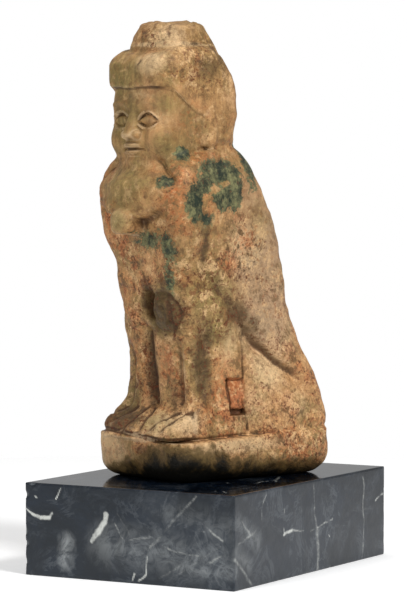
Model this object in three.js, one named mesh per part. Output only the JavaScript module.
// Carved stone statuette on a polished black marble plinth, in millimetres, +Z up.
// The origin is the middle of the plinth's underside and -Y is the plinth's front.
import * as THREE from 'three';

// Plinth
const PLINTH_WIDTH = 77.5;
const PLINTH_DEPTH = 103;
const PLINTH_HEIGHT = 30;
const RESTING_GAP = 0.3;

// Where the carved stone stands on the plinth
const TURN_ON_PLINTH = THREE.MathUtils.degToRad(-20);
const STAND_X = -0.5;
const STAND_Y = 3;

// How finely the carved stone is faceted
const COLUMNS = 84;
const ROWS = 59;
const FRONT_CROWDING = 0.22;
// Rows are closer together at these heights: the ledge and the beard's lower edge
const CROWDED_ROWS = [{ z: 14, extra: 1.3, reach: 4.5 }, { z: 84, extra: 0.9, reach: 6 }];
// How far above and below the ledge and the beard's lower edge the rows bend with them
const LEDGE_HOLD = 8;
const BEARD_HOLD = 11;
const HALVINGS = 26;
const FARTHEST_REACH = 60;

// In the stone's own frame x is the creature's left, y its back, z up from its underside.
const BASE = { halfWidth: 24, front: -32.6, back: 33.9, height: 13.6, corner: 8.5, foot: 7.4, lip: 1.4 };
// The base's upper edge rises towards the back and towards the far front corner
const LEDGE = { riseBehind: 2, riseFar: 1.6, groove: 0.5, grooveWidth: 0.9 };

// Plan sizes at named heights, from foot to top
const BODY = [
  level('ledge', 12, 18.8, 23.2, -24.2, 34.6, 6, 9.5),
  level('ankle', 20, 18.6, 22.8, -24.8, 34.9, 6, 9.5),
  level('shin', 30, 17.6, 20.4, -24.4, 31.8, 5.5, 10.5),
  level('knee', 40, 16.6, 18.8, -24.9, 27.9, 5.5, 10.5),
  level('foreleg', 50, 16.8, 17.8, -26.6, 24.4, 6, 10),
  level('belly', 60, 17.6, 17.4, -28.2, 21.8, 7, 10),
  level('under breast', 70, 18.8, 17.8, -29.6, 20.5, 7.8, 10.5),
  level('breast', 80, 21.6, 18.4, -32, 17.4, 7.4, 10.5),
  level('shoulder', 90, 23.2, 18.6, -32.6, 12.8, 7, 11),
  level('collar', 97, 22.6, 17.8, -32, 9.2, 6.8, 10.5),
  level('neck', 103, 20, 16.4, -30.2, 5.8, 7, 9.5),
  level('under the wig', 107, 15, 14.6, -27.5, 3, 8, 8.5),
  level('inside the head', 111, 11, 12.6, -25, 0.6, 8, 8),
  level('body top', 118, 10, 10, -26, -3, 7, 7),
];
const BODY_FOOT = 6;
const BODY_TOP = 116;

const WIG = [
  level('hem', 94, 9, 12, -24.5, -6, 6, 8),
  level('over hem', 100, 12.5, 15.6, -27.6, -3, 6, 8.5),
  level('nape', 106, 14.6, 16.6, -30, -1, 6.5, 9),
  level('jaw', 112, 15.4, 17, -31.6, 0, 7, 9.5),
  level('ear', 120, 16, 17.2, -32.9, 0.9, 7.5, 10),
  level('band foot', 127, 16.6, 17.2, -34.2, 0.4, 8, 10),
  level('band', 133, 16.6, 16.4, -34.6, -1.6, 8, 10),
  level('band head', 138, 16, 15.2, -33.9, -4.5, 7.5, 9.5),
  level('head top', 141, 15.2, 14, -32.8, -6.5, 7, 9),
];
const WIG_FOOT = 95;
const HEAD_TOP = 140.8;
// The band's lower edge, which drops beside the face, and the slope of its top in front
const BAND = { foot: 127.3, drop: 8.6, dropFrom: -33, dropTo: -18, slope: 0.26, slopeFrom: -22 };
// The opening of the wig round the face reaches back to this y, further back higher up
const OPENING = { back: -17.5, lean: 0.1, height: 112 };

const FACE = [
  level('under chin', 95, 12.4, 15.4, -30.8, -12, 8, 4),
  level('chin', 102, 14, 15.8, -32.2, -12, 8.2, 4),
  level('mouth', 108, 15, 15.8, -32.7, -12, 7.8, 4),
  level('cheek', 114, 15.2, 16, -33, -12, 7.6, 4),
  level('brow', 121, 15.2, 16.2, -33.1, -12, 7.6, 4),
  level('hairline', 129, 15.2, 16.2, -33.1, -12, 7.6, 4),
];
const FACE_FOOT = 92;
const FACE_TOP = 131;
const CHIN = { x: 0, y: -31, z: 103.2, rx: 5, ry: 3.8, rz: 2.5 };
const LIPS = { x: 0, y: -31.9, z: 107.4, rx: 4.6, ry: 2.8, rz: 2.2 };
const NOSE = { x: 0, y: -33, z: 113.6, rx: 2.8, ry: 4.2, rz: 5.6 };
const CHEEK = { x: 8.8, y: -29.9, z: 110.6, rx: 5.2, ry: 3.7, rz: 4.6 };
const SOCKET = { x: 6.9, y: -36, z: 117, rx: 5, ry: 4.8, rz: 3.8 };
const EAR = { x: 16.2, y: -14.6, z: 112, rx: 1.8, ry: 2.4, rz: 8 };

// The broken foot of the lost crown, which tapers in more and more towards its broken top
const CROWN = {
  hidden: 130,
  foot: 140,
  height: 9,
  halfFront: 11.2,
  halfBack: 11.8,
  front: -29.3,
  back: -3.4,
  top: 148.4,
  breakBack: 0.06,
  breakSide: 0.03,
};

// The beard: slanting flanks on each side of a blunt ridge, a V-shaped lower edge and a tip
const BEARD = {
  top: 103.4,
  back: -27,
  ridge: -33.4,
  ridgeAhead: 4.8,
  ridgeHalf: 5.2,
  half: 18.4,
  widen: 0.83,
  topHalf: 12.7,
  widenFrom: 102,
  foot: 84.8,
  footRise: 0.3,
  flankX: 0.339,
  flankY: 0.941,
};
const BEARD_TIP = { half: 4.2, front: -41, back: -30, corner: 3, foot: 79.6, top: 88.4 };
const BEARD_BORDER = { line: [[10.6, 103.4], [18.6, 96.2]], depth: 1.2, width: 1.3 };

// Carving between and beside the forelegs, as [x, z] on the front
const LEG_GAP = { line: [[-2.3, 47.5], [-2.3, 38.5], [-1.2, 24.5]], depth: 3.2, width: 2.4 };
const LEG_CORNER = { line: [[12.2, 47], [12, 36], [12.8, 25]], depth: 1.7, width: 1.6 };
const GAP_RECESS = { x: 1, z: 57, halfWidth: 1.2, halfHeight: 2.8, soft: 1.4, depth: 5 };
const KNEE_DOME = { x: 8, z: 54.6, halfWidth: 6, halfHeight: 6, rise: 1.8 };
const FRONT_FACE_ENDS = [-17, -11];

// Carving on the flanks, as [y, z]
const THIGH = { x: 12.4, y: 13, z: 22, rx: 10.2, ry: 20, rz: 23 };
const THIGH_FOOT = 9;
const WING_EDGE = [
  [-23.7, 80.5], [-19.4, 68.8], [-13.1, 61.8], [-8.2, 56.7], [-3.2, 50], [0.4, 44.6],
  [4.8, 40.8], [9.8, 36.4], [16, 32.2], [21, 28.2], [26, 23.6], [33, 16.5],
];
const WING_STEP = { faint: 0.8, strong: 1.6, strongFrom: 0.42, strongTo: 0.76, rise: 0.9, groove: 0.3 };
const CHANNEL = { line: [[-16.8, 46], [-18.1, 36], [-18.4, 26]], depth: 1.3, width: 2.4 };
const PANEL = { front: -9, back: -2.2, foot: 20.8, head: 33, depth: 1.2, soft: 0.8 };
const WIG_HEM = {
  line: [[4, 107], [-4.4, 108.3], [-17.7, 107], [-24.1, 103.8], [-30.2, 96.5]],
  depth: 1,
  width: 1.4,
};
const FLANK_STARTS = [10, 13];

const PAWS = {
  halfWidth: 19.6,
  front: -33.2,
  back: -18,
  corner: 4,
  foot: 13,
  ankleHeight: 22.4,
  ankleY: -25.5,
  slope: 0.62,
  fall: 0.03,
  partingDepth: 2.4,
  partingWidth: 1.5,
};

// The spine that the stone's surface is reached from: share of the rows, height, upward tilt, y
const SPINE = [
  { share: 0, height: 7, tilt: -90, y: 0 },
  { share: 0.07, height: 7, tilt: -30, y: 0 },
  { share: 0.12, height: 9, tilt: 0, y: 2 },
  { share: 0.3, height: 38, tilt: 0, y: 3 },
  { share: 0.55, height: 76, tilt: 0, y: -9 },
  { share: 0.7, height: 100, tilt: 0, y: -15 },
  { share: 0.9, height: 132, tilt: 0, y: -18.5 },
  { share: 0.95, height: 133.5, tilt: 42, y: -18.5 },
  { share: 1, height: 134, tilt: 90, y: -18.5 },
];

const { clamp, lerp, degToRad } = THREE.MathUtils;

// One named height of a table of plan sizes: half widths in front and behind, the front and the
// back face, and the corner radii in front and behind
function level(name, z, halfFront, halfBack, front, back, cornerFront, cornerBack) {
  return { name, z, halfFront, halfBack, front, back, cornerFront, cornerBack };
}

function ease(t, low, high) {
  const s = clamp((t - low) / (high - low), 0, 1);
  return s * s * (3 - 2 * s);
}

function between(t, low, high, soft) {
  return ease(t, low - soft, low + soft) * (1 - ease(t, high - soft, high + soft));
}

function bell(distance, width) {
  return Math.exp(-((distance / width) ** 2));
}

// Blended union, cut and overlap of two distances
function join(a, b, blend) {
  const h = clamp(0.5 + (0.5 * (b - a)) / blend, 0, 1);
  return b + (a - b) * h - blend * h * (1 - h);
}

function cut(a, b, blend) {
  return -join(-a, b, blend);
}

function both(a, b, blend) {
  return -join(-a, -b, blend);
}

// A smooth curve through one size of a table, at a height
function along(table, key, z) {
  let k = 0;
  while (k < table.length - 2 && z > table[k + 1].z) {
    k += 1;
  }
  const slopeAt = (i) => {
    const low = Math.max(i - 1, 0);
    const high = Math.min(i + 1, table.length - 1);
    return (table[high][key] - table[low][key]) / (table[high].z - table[low].z);
  };
  const span = table[k + 1].z - table[k].z;
  const f = clamp((z - table[k].z) / span, 0, 1);
  return (
    (1 + 2 * f) * (1 - f) ** 2 * table[k][key] +
    f * (1 - f) ** 2 * span * slopeAt(k) +
    f * f * (3 - 2 * f) * table[k + 1][key] +
    f * f * (f - 1) * span * slopeAt(k + 1)
  );
}

// Distance in plan from a trapezium with rounded corners
function plan(x, y, s) {
  const mid = (s.front + s.back) / 2;
  const deep = (s.back - s.front) / 2;
  const t = clamp((y - s.front) / (s.back - s.front), 0, 1);
  const half = s.halfFront + (s.halfBack - s.halfFront) * t;
  const r = s.cornerFront + (s.cornerBack - s.cornerFront) * ease(y, s.front, s.back);
  const qx = Math.abs(x) - half + r;
  const qy = Math.abs(y - mid) - deep + r;
  return Math.hypot(Math.max(qx, 0), Math.max(qy, 0)) + Math.min(Math.max(qx, qy), 0) - r;
}

function planAt(x, y, z, table) {
  const sizes = {};
  for (const key of ['halfFront', 'halfBack', 'front', 'back', 'cornerFront', 'cornerBack']) {
    sizes[key] = along(table, key, z);
  }
  return plan(x, y, sizes);
}

function evenPlan(x, y, half, front, back, corner) {
  const halves = { halfFront: half, halfBack: half };
  return plan(x, y, { ...halves, front, back, cornerFront: corner, cornerBack: corner });
}

// Closes a plan distance below and above, with rounded edges
function closed(distance, z, low, high, roundLow, roundHigh) {
  const mid = (low + high) / 2;
  const r = z < mid ? roundLow : roundHigh;
  const q = Math.abs(z - mid) - (high - low) / 2 + r;
  const p = distance + r;
  return Math.hypot(Math.max(p, 0), Math.max(q, 0)) + Math.min(Math.max(p, q), 0) - r;
}

function egg(x, y, z, s) {
  const px = (x - s.x) / s.rx;
  const py = (y - s.y) / s.ry;
  const pz = (z - s.z) / s.rz;
  const reach = Math.hypot(px, py, pz);
  return (reach * (reach - 1)) / Math.max(Math.hypot(px / s.rx, py / s.ry, pz / s.rz), 1e-6);
}

// Nearest distance from a bent line, whether that is on the left of its direction, and the share
// of its length at the nearest point
function fromLine(p, q, corners) {
  const lengths = corners.slice(1).map(([x, y], i) => Math.hypot(x - corners[i][0], y - corners[i][1]));
  const total = lengths.reduce((sum, length) => sum + length, 0);
  let found = { distance: Infinity, left: false, share: 0 };
  let done = 0;
  lengths.forEach((length, i) => {
    const [ax, ay] = corners[i];
    const wayX = (corners[i + 1][0] - ax) / length;
    const wayY = (corners[i + 1][1] - ay) / length;
    const t = clamp((p - ax) * wayX + (q - ay) * wayY, 0, length);
    const distance = Math.hypot(p - ax - t * wayX, q - ay - t * wayY);
    if (distance < found.distance) {
      found = { distance, left: wayX * (q - ay) - wayY * (p - ax) > 0, share: (done + t) / total };
    }
    done += length;
  });
  return found;
}

// How deep a groove along a bent line is at a point
function groove(p, q, { line, depth, width }) {
  return depth * bell(fromLine(p, q, line).distance, width);
}

function ledgeHeight(x, y) {
  const far = ease(-x, -14, 16) * ease(-y, 22, 30);
  return BASE.height + LEDGE.riseBehind * ease(y, -24, 32) + LEDGE.riseFar * far;
}

// The carving on the front, as a depth below the plain surface
function frontCarving(x, side, z) {
  const acrossRecess = Math.max(Math.abs(x - GAP_RECESS.x) - GAP_RECESS.halfWidth, 0);
  const upRecess = Math.max(Math.abs(z - GAP_RECESS.z) - GAP_RECESS.halfHeight, 0);
  const recess = GAP_RECESS.depth * bell(acrossRecess, GAP_RECESS.soft) * bell(upRecess, GAP_RECESS.soft);
  const acrossDome = (side - KNEE_DOME.x) / KNEE_DOME.halfWidth;
  const dome = Math.hypot(acrossDome, (z - KNEE_DOME.z) / KNEE_DOME.halfHeight);
  const domeRise = KNEE_DOME.rise * (0.5 + 0.5 * ease(x, -3, 3)) * (1 - ease(dome, 0.3, 1.2));
  return groove(x, z, LEG_GAP) + groove(side, z, LEG_CORNER) + recess - domeRise;
}

// The carving on each flank, as a depth below the plain surface
function flankCarving(y, z) {
  const { distance, left, share } = fromLine(y, z, WING_EDGE);
  const wing = left ? distance : -distance;
  const strong = WING_STEP.strong * between(share, WING_STEP.strongFrom, WING_STEP.strongTo, 0.07);
  const fading = (1 - 0.7 * ease(share, 0.86, 0.96)) * ease(share, 0, 0.15);
  const raised = WING_STEP.rise * ease(wing, 0.2, 3.8) * (1 - ease(wing, 4.2, 18));
  const step = (WING_STEP.faint + strong) * fading * (WING_STEP.groove * bell(wing - 0.2, 1.6) - raised);
  const panel = between(y, PANEL.front, PANEL.back, PANEL.soft);
  const panelDepth = PANEL.depth * panel * between(z, PANEL.foot, PANEL.head, PANEL.soft);
  return step + panelDepth + groove(y, z, CHANNEL);
}

function bodyAndLegs(x, y, z) {
  const side = Math.abs(x);
  const thigh = both(egg(side, y, z, THIGH), THIGH_FOOT - z, 1);
  const block = join(closed(planAt(x, y, z, BODY), z, BODY_FOOT, BODY_TOP, 1, 5), thigh, 3);
  const facing = 1 - ease(y, ...FRONT_FACE_ENDS);
  return block + facing * frontCarving(x, side, z) + ease(side, ...FLANK_STARTS) * flankCarving(y, z);
}

function paws(x, y, z) {
  const ahead = Math.min(y - PAWS.ankleY, 0);
  const roof = PAWS.ankleHeight + PAWS.slope * (y - PAWS.ankleY) - PAWS.fall * ahead * ahead;
  let d = evenPlan(x, y, PAWS.halfWidth, PAWS.front, PAWS.back, PAWS.corner);
  d = both(d, z - roof, 2.6);
  d = both(d, PAWS.foot - z, 0.6);
  return d + PAWS.partingDepth * bell(x, PAWS.partingWidth) * ease(z, PAWS.foot + 1.8, PAWS.foot + 3.8);
}

function face(x, y, z) {
  const side = Math.abs(x);
  let d = closed(planAt(x, y, z, FACE), z, FACE_FOOT, FACE_TOP, 2, 2);
  d = cut(d, egg(side, y, z, SOCKET), 1.6);
  d = join(d, egg(side, y, z, CHEEK), 2.2);
  d = join(d, egg(x, y, z, NOSE), 1.2);
  d = join(d, egg(x, y, z, LIPS), 1);
  return join(d, egg(x, y, z, CHIN), 1.4);
}

function crown(x, y, z) {
  const lean = (z - CROWN.foot) / CROWN.height;
  const rise = Math.max(lean, 0) ** 3;
  const d = plan(x, y, {
    halfFront: CROWN.halfFront - 1.4 * lean,
    halfBack: CROWN.halfBack - 1.6 * lean,
    front: CROWN.front + 1.6 * lean + 4 * rise,
    back: CROWN.back - 3 * lean - 3.6 * rise,
    cornerFront: 7,
    cornerBack: 9,
  });
  const broken = CROWN.top + CROWN.breakBack * (y + 18) - CROWN.breakSide * x;
  return Math.max(both(d, z - broken, 1.6), CROWN.hidden - z);
}

function head(x, y, z) {
  const sloped = z + BAND.slope * Math.max(BAND.slopeFrom - y, 0) * ease(z, BAND.foot, HEAD_TOP - 5);
  const block = closed(planAt(x, y, z, WIG), sloped, WIG_FOOT, HEAD_TOP, 4, 3.8);
  const bandFoot = BAND.foot - BAND.drop * ease(y, BAND.dropFrom, BAND.dropTo);
  const opening = both(z - bandFoot, y - OPENING.back - OPENING.lean * (z - OPENING.height), 1.2);
  let d = join(cut(block, opening, 0.5), face(x, y, z), 0.35);
  d = join(d, egg(Math.abs(x), y, z, EAR), 2);
  return join(d, crown(x, y, z), 0.5);
}

function beard(x, y, z) {
  const side = Math.abs(x);
  const ridge = BEARD.ridge - BEARD.ridgeAhead * ease(z, BEARD.top, 94.5);
  let d = BEARD.flankX * (side - BEARD.ridgeHalf) - BEARD.flankY * (y - ridge);
  d = both(d, ridge - y, 1.2);
  d = both(d, y - BEARD.back, 1);
  d = both(d, side - BEARD.half, 2);
  d = both(d, (side - BEARD.topHalf - BEARD.widen * (BEARD.widenFrom - z)) / Math.hypot(1, BEARD.widen), 0.9);
  d = both(d, BEARD.foot + BEARD.footRise * Math.max(side - BEARD_TIP.half, 0) - z, 2);
  d = both(d, z - BEARD.top, 1.4);
  const { half, front, back, corner, foot, top } = BEARD_TIP;
  return join(d, closed(evenPlan(x, y, half, front, back, corner), z, foot, top, corner, corner), 2.8);
}

// Below nought inside the stone, above nought outside it
function stone(x, y, z) {
  const slab = evenPlan(x, y, BASE.halfWidth, BASE.front, BASE.back, BASE.corner);
  const ledge = ledgeHeight(x, y);
  const base = closed(slab, z, 0, ledge, BASE.foot, BASE.lip);
  let d = join(base, join(bodyAndLegs(x, y, z), paws(x, y, z), 3), 0.6);
  d += LEDGE.groove * bell(z - ledge - 0.2, LEDGE.grooveWidth);
  d = join(d, head(x, y, z), 3);
  d = join(d, beard(x, y, z), 1.1);
  const side = Math.abs(x);
  const hemFades = 1 - ease(fromLine(y, z, WIG_HEM.line).share, 0.74, 0.92);
  d += ease(side, 8, 10) * hemFades * groove(y, z, WIG_HEM);
  return d + ease(-y, 24, 27) * groove(side, z, BEARD_BORDER);
}

function spineAt(share) {
  let k = 0;
  while (k < SPINE.length - 2 && share > SPINE[k + 1].share) {
    k += 1;
  }
  const low = SPINE[k];
  const high = SPINE[k + 1];
  const f = clamp((share - low.share) / (high.share - low.share), 0, 1);
  const at = (key) => lerp(low[key], high[key], f);
  return { height: at('height'), tilt: at('tilt'), y: at('y') };
}

// How far a row bends upwards to follow the ledge and the beard's lower edge
function rowLift(x, y, height) {
  const atLedge = (ledgeHeight(x, y) - BASE.height) * bell(height - BASE.height, LEDGE_HOLD);
  const beardRise = BEARD.footRise * Math.max(Math.abs(x) - BEARD_TIP.half, 0) * ease(-y, 20, 28);
  return atLedge + beardRise * bell(height - BEARD.foot, BEARD_HOLD);
}

// The point where a line from the spine leaves the stone
function surfacePoint(share, angle) {
  const { height, tilt, y: startY } = spineAt(share);
  const rise = degToRad(tilt);
  const start = new THREE.Vector3(0, startY, height);
  const way = new THREE.Vector3(
    Math.sin(angle) * Math.cos(rise),
    -Math.cos(angle) * Math.cos(rise),
    Math.sin(rise),
  );
  const point = new THREE.Vector3();
  const reachOut = (reach) => {
    point.copy(start).addScaledVector(way, reach);
    point.z += rowLift(point.x, point.y, height);
  };
  let near = 0;
  let far = FARTHEST_REACH;
  for (let i = 0; i < HALVINGS; i += 1) {
    const reach = (near + far) / 2;
    reachOut(reach);
    if (stone(point.x, point.y, point.z) < 0) {
      near = reach;
    } else {
      far = reach;
    }
  }
  reachOut((near + far) / 2);
  return point;
}

// Shares along the spine that give rows of nearly even height, closer together where crowded
function evenShares(count) {
  const samples = 240;
  const spokes = 12;
  const lengths = [0];
  let ring = null;
  for (let i = 0; i <= samples; i += 1) {
    const next = [];
    for (let j = 0; j < spokes; j += 1) {
      next.push(surfacePoint(i / samples, (j / spokes) * 2 * Math.PI));
    }
    if (ring) {
      const step = next.reduce((sum, point, j) => sum + point.distanceTo(ring[j]), 0) / spokes;
      const { height } = spineAt(i / samples);
      const extra = CROWDED_ROWS.reduce((sum, row) => sum + row.extra * bell(height - row.z, row.reach), 0);
      lengths.push(lengths[i - 1] + step * (1 + extra));
    }
    ring = next;
  }
  const total = lengths[samples];
  const shares = [];
  let k = 0;
  for (let row = 0; row < count; row += 1) {
    const wanted = (total * row) / (count - 1);
    while (k < samples - 1 && lengths[k + 1] < wanted) {
      k += 1;
    }
    shares.push((k + (wanted - lengths[k]) / (lengths[k + 1] - lengths[k])) / samples);
  }
  return shares;
}

function carvedStone() {
  const shares = evenShares(ROWS);
  const points = [surfacePoint(0, 0)];
  for (let row = 1; row < ROWS - 1; row += 1) {
    for (let column = 0; column < COLUMNS; column += 1) {
      const turn = (column / COLUMNS) * 2 * Math.PI;
      points.push(surfacePoint(shares[row], turn - FRONT_CROWDING * Math.sin(turn)));
    }
  }
  points.push(surfacePoint(1, 0));

  const triangles = [];
  const at = (row, column) => 1 + (row - 1) * COLUMNS + (column % COLUMNS);
  const last = points.length - 1;
  for (let column = 0; column < COLUMNS; column += 1) {
    triangles.push(0, at(1, column + 1), at(1, column));
    // Each four points fold along the slant of the wing, which falls towards the back
    const nearFlank = column < COLUMNS / 2;
    for (let row = 1; row < ROWS - 2; row += 1) {
      const low = [at(row, column), at(row, column + 1)];
      const high = [at(row + 1, column), at(row + 1, column + 1)];
      if (nearFlank) {
        triangles.push(low[0], low[1], high[0], low[1], high[1], high[0]);
      } else {
        triangles.push(low[0], low[1], high[1], low[0], high[1], high[0]);
      }
    }
    triangles.push(at(ROWS - 2, column), at(ROWS - 2, column + 1), last);
  }

  const geometry = new THREE.BufferGeometry().setFromPoints(points);
  geometry.setIndex(triangles);
  geometry.computeVertexNormals();
  return geometry;
}

const object = new THREE.Group();
object.name = 'ba_bird_statuette';

const statuette = new THREE.Mesh(
  carvedStone(),
  new THREE.MeshStandardMaterial({ color: 0xb8935f, roughness: 0.8, metalness: 0 }),
);
statuette.name = 'statuette';
statuette.position.set(STAND_X, STAND_Y, PLINTH_HEIGHT + RESTING_GAP);
statuette.rotation.z = TURN_ON_PLINTH;
object.add(statuette);

const plinth = new THREE.Mesh(
  new THREE.BoxGeometry(PLINTH_WIDTH, PLINTH_DEPTH, PLINTH_HEIGHT),
  new THREE.MeshStandardMaterial({ color: 0x1b1f22, roughness: 0.15, metalness: 0 }),
);
plinth.name = 'marble_plinth';
plinth.position.z = PLINTH_HEIGHT / 2;
object.add(plinth);

export default object;
